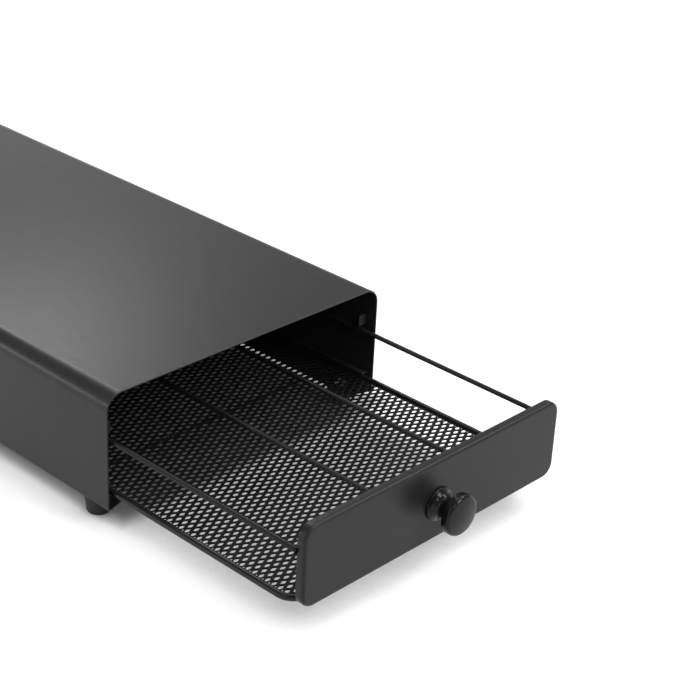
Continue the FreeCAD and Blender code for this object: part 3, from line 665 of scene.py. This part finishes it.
def knob_turned():
    """Rosette, hollowed neck and a thick head whose rim is well rounded."""
    lo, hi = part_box("knob")
    profile = [(0.4, 0.0), (KNOB_BASE - 0.25, 0.0)]
    profile += bow((KNOB_BASE - KNOB_SEAT_ROUND, KNOB_SEAT_ROUND), KNOB_SEAT_ROUND, -60, 0, 4)
    profile += bow((KNOB_BASE - KNOB_EDGE_ROUND, KNOB_EDGE_HEIGHT), KNOB_EDGE_ROUND, 10, 85, 6)
    profile += bow((KNOB_NECK + KNOB_HOLLOW, KNOB_MIDDLE), KNOB_HOLLOW, 245, 112, 26)
    profile += bow((KNOB_HEAD - KNOB_BACK_ROUND, KNOB_BACK + KNOB_BACK_ROUND),
                   KNOB_BACK_ROUND, -78, 0, 8)
    profile += bow((KNOB_HEAD - KNOB_RIM_ROUND, KNOB_FACE - KNOB_RIM_ROUND),
                   KNOB_RIM_ROUND, 0, 85, 12)
    edge = profile[-1][0]
    for i in range(1, 9):
        radius = edge * (1 - i / 8.4)
        profile.append((radius, KNOB_FACE + KNOB_CROWN * (1 - (radius / edge) ** 2)))
    centre = ((lo[0] + hi[0]) / 2, hi[1], (lo[2] + hi[2]) / 2)
    lathe("knob_turned", profile, centre, (0, -1, 0), "drawer", "knob", "knob")


def rubber_feet():
    """Moulded feet: soft lower lip, slight draft and a recess round the screw."""
    for node in (n for n in nodes if n.endswith("_foot")):
        lo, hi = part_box(node)
        height = (hi[2] - lo[2]) / MM
        inner = FOOT_RECESS - FOOT_RECESS_ROUND
        profile = [(FOOT_BORE, height), (FOOT_BORE, FOOT_RECESS_TOP), (inner, FOOT_RECESS_TOP)]
        profile += bow((inner, FOOT_RECESS_TOP - FOOT_RECESS_ROUND), FOOT_RECESS_ROUND, 90, 0, 4)
        profile += [(FOOT_RECESS, 0.5)]
        profile += bow((FOOT_LIP, FOOT_LIP_ROUND), FOOT_LIP_ROUND, 180, 270, 5)
        profile += bow((FOOT_BASE - FOOT_HEEL_ROUND, FOOT_HEEL_ROUND), FOOT_HEEL_ROUND,
                       270, 354, 8)
        profile += bow((FOOT_TOP - FOOT_TOP_ROUND, height - FOOT_TOP_ROUND), FOOT_TOP_ROUND,
                       -6, 90, 5)
        centre = ((lo[0] + hi[0]) / 2, (lo[1] + hi[1]) / 2, lo[2])
        lathe(f"{node}_moulded", profile, centre, (0, 0, 1), "casing", "rubber", node,
              FOOT_TURNS, closed=True)


def cross_recess(x, y, height):
    """Depth of a cross recess below a screw head's top, soft at its walls."""
    if height > 0.0:
        return 0.0
    across = min(abs(x), abs(y))
    along = max(abs(x), abs(y))
    inside = min(RECESS_ARM - across, RECESS_REACH - along) / RECESS_WALL
    return RECESS_DEPTH * max(0.0, min(1.0, inside + 0.5)) * (1 - along / RECESS_POINT)


def thread(start, end):
    """Rings of a fine thread, from the head's side to the bevelled tip."""
    line = [(THREAD_END, start)]
    height = start + 0.2
    while height < end - 0.75:
        line += [(THREAD_CREST, height), (THREAD_ROOT, height + 0.22),
                 (THREAD_ROOT, height + 0.28)]
        height += THREAD_PITCH
    return line + [(THREAD_END, end - TIP_BEVEL), (TIP_RADIUS, end), (0.1, end)]


def screws():
    """Pan heads with a cross recess on threaded shanks, for the feet and the knob."""
    # rings across the head's flat, close enough for the recess to show in them
    profile = [(0.05, 0.0)] + [(0.15 * i, 0.0) for i in range(1, 18)]
    profile += bow((SCREW_HEAD_RADIUS - SCREW_HEAD_ROUND, SCREW_HEAD_ROUND), SCREW_HEAD_ROUND,
                   -88, 0, 7)
    profile += [(SCREW_HEAD_RADIUS, SCREW_HEAD), (SCREW_SHANK, SCREW_HEAD)]
    for node in (n for n in nodes if n.endswith("_screw")):
        lo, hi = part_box(node)
        centre = (lo + hi) / 2
        if node == "knob_screw":
            start, axis, body = (centre[0], hi[1], centre[2]), (0, -1, 0), "drawer"
            length = (hi[1] - lo[1]) / MM
        else:
            start, axis, body = (centre[0], centre[1], lo[2]), (0, 0, 1), "casing"
            length = (hi[2] - lo[2]) / MM
        line = profile + thread(SCREW_HEAD + THREAD_PLAIN, length)
        lathe(f"{node}_pan", line, start, axis, body, "zinc_steel", node,
              SCREW_TURNS, cross_recess)


knob_turned()
rubber_feet()
screws()


# welds: fillets where a wire ends on another or on the panel, and tacks at crossings

FILLET_SIDES = 28
FILLET_ROWS = (0.0, 0.3, 0.65, 1.0)
FILLET_SUNK = 0.1 * MM
WIDE_FILLET = 0.8 * MM
POST_HEAD_FILLET = 0.6 * MM
RIM_FILLET = 0.5 * MM
TACK_RINGS = 7
TACK_SIDES = 16
SUPPORT_TACK = (1.1 * MM, 1.5 * MM, 0.9 * MM)
DIVIDER_TACK = (1.3 * MM, 1.1 * MM, 0.7 * MM)
RIM_TACK = (3.2 * MM, 0.75 * MM, 0.6 * MM)
RIM_TACK_OFFSET = 1.25 * MM
RIM_TACKS_X = (-66, -24, 24, 66)


def lumps(angle, seed):
    """A weld's uneven width, as a factor round it."""
    return 1 + 0.16 * math.sin(3 * angle + seed) + 0.09 * math.sin(7 * angle + 2.3 * seed)


def saddle_weld(name, centre, branch, main, main_radius, wire_radius, width, seed):
    """A fillet round a wire that ends on a rod; a main radius of None means a flat wall."""
    out = Vector(branch).normalized()
    axis = Vector(main).normalized()
    side = axis.cross(out)
    points = []
    for share in FILLET_ROWS:
        for k in range(FILLET_SIDES):
            angle = 2 * math.pi * k / FILLET_SIDES
            throat = width * lumps(angle, seed)
            radius = wire_radius * 0.97 + throat * (1 - share) ** 1.5
            x, y = radius * math.cos(angle), radius * math.sin(angle)
            if main_radius is None:
                foot = 0.0
            else:
                foot = math.sqrt(max(main_radius ** 2 - y * y, (0.3 * main_radius) ** 2))
            sunk = FILLET_SUNK if share == 0.0 else 0.0
            height = foot - sunk + throat * share ** 1.5
            points.append(Vector(centre) + axis * x + side * y + out * height)
    add_piece(name, points, bands(len(FILLET_ROWS), FILLET_SIDES), "drawer", "wire_coat")


def tack(name, centre, reach, seed):
    """A small uneven weld spot, given by its three half sizes."""
    points = []
    for r in range(TACK_RINGS + 1):
        lift = math.pi * r / TACK_RINGS
        for k in range(TACK_SIDES):
            angle = 2 * math.pi * k / TACK_SIDES
            swell = lumps(angle, seed) * (1 + 0.05 * math.sin(5 * lift + seed))
            points.append(Vector(centre) + Vector((
                reach[0] * math.cos(lift),
                reach[1] * math.sin(lift) * math.cos(angle) * swell,
                reach[2] * math.sin(lift) * math.sin(angle) * swell)))
    piece = add_piece(name, points, bands(TACK_RINGS + 1, TACK_SIDES), "drawer", "wire_coat")
    merge_doubles(piece.data)


def merge_doubles(mesh):
    """Merge points that fall together."""
    work = bmesh.new()
    work.from_mesh(mesh)
    bmesh.ops.remove_doubles(work, verts=work.verts, dist=1e-6)
    work.to_mesh(mesh)
    work.free()


def drawer_welds():
    """Every joint of the drawer's wires."""
    frame_lo, frame_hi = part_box("bottom_frame")
    rod_z = (frame_lo[2] + frame_hi[2]) / 2
    rod_x = frame_hi[0] - ROD_RADIUS
    wire_lo, wire_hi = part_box("upper_wire")
    wire_z = (wire_lo[2] + wire_hi[2]) / 2
    wire_radius = (wire_hi[2] - wire_lo[2]) / 2
    for number in range(1, 7):
        lo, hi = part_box(f"rear_post_{number}")
        x, y = (lo[0] + hi[0]) / 2, (lo[1] + hi[1]) / 2
        saddle_weld(f"post_{number}_foot_weld", (x, y, rod_z), (0, 0, 1), (1, 0, 0),
                    ROD_RADIUS, wire_radius, WIDE_FILLET, number)
        saddle_weld(f"post_{number}_head_weld", (x, y, wire_z), (0, 0, -1), (1, 0, 0),
                    wire_radius, wire_radius, POST_HEAD_FILLET, number + 0.5)
    for number in range(1, 4):
        lo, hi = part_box(f"floor_support_{number}")
        y, z = (lo[1] + hi[1]) / 2, (lo[2] + hi[2]) / 2
        for side, sign in (("left", -1), ("right", 1)):
            centre = (sign * (rod_x - 1.5 * MM), y, z - 0.1 * MM)
            tack(f"support_{number}_{side}_weld", centre, SUPPORT_TACK, number + sign)
    for side, sign in (("left", -1), ("right", 1)):
        lo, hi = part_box(f"{side}_divider")
        x, z = (lo[0] + hi[0]) / 2, (lo[2] + hi[2]) / 2
        radius = (hi[2] - lo[2]) / 2
        saddle_weld(f"{side}_divider_panel_weld", (x, lo[1], z), (0, 1, 0), (1, 0, 0),
                    None, radius, WIDE_FILLET, 2 + sign)
        back = frame_hi[1] - ROD_RADIUS
        tack(f"{side}_divider_wire_weld", (x, back, z + radius * 0.9), DIVIDER_TACK, 4 + sign)
        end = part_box("front_panel")[1][1]
        saddle_weld(f"{side}_wire_rim_weld", (sign * rod_x, end, wire_z), (0, 1, 0), (1, 0, 0),
                    None, wire_radius, RIM_FILLET, 6 + sign)
    front = frame_lo[1] + ROD_RADIUS
    for number, x in enumerate(RIM_TACKS_X, start=1):
        centre = (x * MM, front - RIM_TACK_OFFSET, rod_z - RIM_TACK_OFFSET)
        tack(f"rim_tack_{number}", centre, RIM_TACK, number * 1.7)


drawer_welds()


# studio: white floor and surround, soft light, camera

WHITE = (1.0, 1.0, 1.0, 1.0)
FLOOR_HALF = 12.0
FLOOR_PAINT = (0.45, 0.45, 0.45, 1.0)
FLOOR_SHADE_CENTRE = (0.25, -0.35, 0.0)
COVER_REACH = 0.03
CASING_SHADOW_SHIFT = 9 * MM
SKY_COLOR = (1.0, 0.99, 0.98, 1.0)
SKY_STRENGTH = 0.27

# what map_range makes of a value: from low and high, to low and (if not 1) high
GLOW_BY_DISTANCE = (0.35, 2.0, 0.76, 0.90)
GLOW_BY_OPENNESS = (0.40, 0.68, 0.12)
GLOW_BY_CASING_SHADOW = (-0.006, 0.008, 0.02)
SHADE_BY_DISTANCE = (0.08, 0.50, 0.22, 0.60)
BACKDROP_BY_HEIGHT = (0.04, 0.34, 1.0, 0.42)


def shows_background(tree):
    """One for rays that see, mirror or pass through to the white background."""
    path = tree.nodes.new("ShaderNodeLightPath")
    last = path.outputs["Is Camera Ray"]
    for kind in ("Is Glossy Ray", "Is Transmission Ray"):
        last = calculated(tree, "MAXIMUM", last, path.outputs[kind])
    return last


def painted_casing_shadow(tree, coords):
    """One beside the casing and almost none under it: a painted shadow that cuts the floor's glow
    there.

    The line between them lies a little towards +X, away from the camera's side.
    """
    split = tree.nodes.new("ShaderNodeSeparateXYZ")
    tree.links.new(coords.outputs["Object"], split.inputs["Vector"])
    lo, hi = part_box("casing_shell")
    reaches = []
    for axis, low, high in (("X", lo[0] + CASING_SHADOW_SHIFT, hi[0] + CASING_SHADOW_SHIFT),
                            ("Y", lo[1], hi[1])):
        offset = calculated(tree, "SUBTRACT", split.outputs[axis], (low + high) / 2)
        distance = calculated(tree, "ABSOLUTE", offset, 0.0)
        reaches.append(calculated(tree, "SUBTRACT", distance, (high - low) / 2))
    mask = map_range(tree, calculated(tree, "MAXIMUM", *reaches), *GLOW_BY_CASING_SHADOW)
    mask.interpolation_type = "SMOOTHSTEP"
    return mask.outputs["Result"]


def floor_glow(tree, coords):
    """The floor's own light: stronger far away, and gone where something stands close above,
    which paints shade under the drawer and the casing.
    """
    away = tree.nodes.new("ShaderNodeVectorMath")
    away.operation = "LENGTH"
    tree.links.new(coords.outputs["Object"], away.inputs[0])
    close = tree.nodes.new("ShaderNodeAmbientOcclusion")
    close.samples = 8
    close.inputs["Distance"].default_value = COVER_REACH
    lift = map_range(tree, away.outputs["Value"], *GLOW_BY_DISTANCE)
    # painted shade: ambient occlusion dims the glow under the drawer's mesh and the casing
    free = map_range(tree, close.outputs["AO"], *GLOW_BY_OPENNESS)
    last = calculated(tree, "MULTIPLY", free.outputs["Result"], lift.outputs["Result"])
    return calculated(tree, "MULTIPLY", painted_casing_shadow(tree, coords), last)


def white_floor():
    """A wide white floor that keeps the object's soft shadow.

    Rays that see or mirror it meet paint with a glow of its own. The light it throws back
    at the object comes from plain paint with a painted shadow, darker round
    FLOOR_SHADE_CENTRE.
    """
    mat = bpy.data.materials.new("studio_floor")
    mat.use_nodes = True
    tree = mat.node_tree
    tree.nodes.clear()
    out = tree.nodes.new("ShaderNodeOutputMaterial")
    seen = tree.nodes.new("ShaderNodeAddShader")
    glow = tree.nodes.new("ShaderNodeEmission")
    paint = tree.nodes.new("ShaderNodeBsdfDiffuse")
    shaded_bounce = tree.nodes.new("ShaderNodeBsdfDiffuse")
    coords = tree.nodes.new("ShaderNodeTexCoord")
    spot = tree.nodes.new("ShaderNodeVectorMath")
    spot.operation = "DISTANCE"
    spot.inputs[1].default_value = FLOOR_SHADE_CENTRE
    tree.links.new(coords.outputs["Object"], spot.inputs[0])
    # painted shadow: the paint that lights the object is darker near it, towards the front right
    shade = map_range(tree, spot.outputs["Value"], *SHADE_BY_DISTANCE)
    tree.links.new(shade.outputs["Result"], shaded_bounce.inputs["Color"])
    paint.inputs["Color"].default_value = FLOOR_PAINT
    glow.inputs["Color"].default_value = WHITE
    tree.links.new(floor_glow(tree, coords), glow.inputs["Strength"])
    tree.links.new(paint.outputs["BSDF"], seen.inputs[0])
    tree.links.new(glow.outputs["Emission"], seen.inputs[1])
    surface = mixed(tree, shows_background(tree), shaded_bounce.outputs["BSDF"],
                    seen.outputs["Shader"])
    tree.links.new(surface, out.inputs["Surface"])
    mesh = bpy.data.meshes.new("floor")
    side = FLOOR_HALF
    mesh.from_pydata([(-side, -side, 0), (side, -side, 0), (side, side, 0), (-side, side, 0)],
                     [], [(0, 1, 2, 3)])
    mesh.materials.append(mat)
    floor = bpy.data.objects.new("floor", mesh)
    bpy.context.scene.collection.objects.link(floor)


def surround():
    """White to the camera, white that fades with height to mirrors, soft as light."""
    world = bpy.data.worlds.new("studio")
    world.use_nodes = True
    bpy.context.scene.world = world
    tree = world.node_tree
    tree.nodes.clear()
    out = tree.nodes.new("ShaderNodeOutputWorld")
    light = tree.nodes.new("ShaderNodeBackground")
    white = tree.nodes.new("ShaderNodeBackground")
    coords = tree.nodes.new("ShaderNodeTexCoord")
    split = tree.nodes.new("ShaderNodeSeparateXYZ")
    path = tree.nodes.new("ShaderNodeLightPath")
    light.inputs["Color"].default_value = SKY_COLOR
    light.inputs["Strength"].default_value = SKY_STRENGTH
    white.inputs["Color"].default_value = WHITE
    tree.links.new(coords.outputs["Generated"], split.inputs["Vector"])
    rise = map_range(tree, split.outputs["Z"], *BACKDROP_BY_HEIGHT)
    backdrop = calculated(tree, "MAXIMUM", rise.outputs["Result"],
                          path.outputs["Is Camera Ray"])
    tree.links.new(backdrop, white.inputs["Strength"])
    surface = mixed(tree, shows_background(tree), light.outputs["Background"],
                    white.outputs["Background"])
    tree.links.new(surface, out.inputs["Surface"])


def softbox(name, place, target, size, power):
    """A rectangular area lamp that faces the target."""
    lamp = bpy.data.lights.new(name, "AREA")
    lamp.shape = "RECTANGLE"
    lamp.size, lamp.size_y = size
    lamp.energy = power
    obj = bpy.data.objects.new(name, lamp)
    bpy.context.scene.collection.objects.link(obj)
    obj.location = place
    aim = Vector(target) - Vector(place)
    obj.rotation_mode = "QUATERNION"
    obj.rotation_quaternion = aim.to_track_quat("-Z", "Y")


white_floor()
surround()
softbox("key", (0.76, 1.40, 1.44), (0.0, 0.0, 0.05), (0.8, 0.7), 11.0)
softbox("overhead", (0.40, 0.22, 1.6), (0.0, -0.05, 0.05), (0.8, 0.8), 5.0)
softbox("front", (0.42, -1.25, 0.95), (0.0, -0.2, 0.04), (0.5, 1.0), 12.0)
softbox("front_left", (-0.42, -1.25, 1.0), (0.0, -0.2, 0.04), (0.5, 0.4), 3.0)
softbox("right", (1.02, -0.42, 1.25), (0.0, -0.15, 0.05), (1.1, 0.5), 9.5)
softbox("low_left", (-1.25, 1.05, 0.34), (0.0, 0.0, 0.06), (1.0, 0.2), 4.0)
softbox("left", (-1.4, 0.1, 0.9), (0.0, 0.0, 0.05), (1.2, 1.0), 5.0)

CAMERA_PLACE = (-0.55194, -0.66351, 0.47355)
CAMERA_AZIMUTH = -47.621
CAMERA_ELEVATION = 27.105
CAMERA_ROLL = 3.084
FOCAL_PIXELS = 1798.36
PHOTO_PIXELS = 700.0
SENSOR_WIDTH = 36.0


def photo_camera():
    """The photograph's camera, from the vanishing directions of the casing's edges."""
    a, e, r = (math.radians(v) for v in (CAMERA_AZIMUTH, CAMERA_ELEVATION, CAMERA_ROLL))
    back = Vector((math.sin(a) * math.cos(e), -math.cos(a) * math.cos(e), math.sin(e)))
    level = Vector((math.cos(a), math.sin(a), 0.0))
    rise = back.cross(level)
    right = level * math.cos(r) + rise * math.sin(r)
    up = rise * math.cos(r) - level * math.sin(r)
    lens = bpy.data.cameras.new("camera")
    lens.sensor_width = SENSOR_WIDTH
    lens.lens = SENSOR_WIDTH * FOCAL_PIXELS / PHOTO_PIXELS
    camera = bpy.data.objects.new("camera", lens)
    bpy.context.scene.collection.objects.link(camera)
    turn = Matrix((right, up, back)).transposed().to_4x4()
    camera.matrix_world = Matrix.Translation(CAMERA_PLACE) @ turn
    bpy.context.scene.camera = camera


photo_camera()
bpy.context.scene.view_settings.view_transform = "Standard"
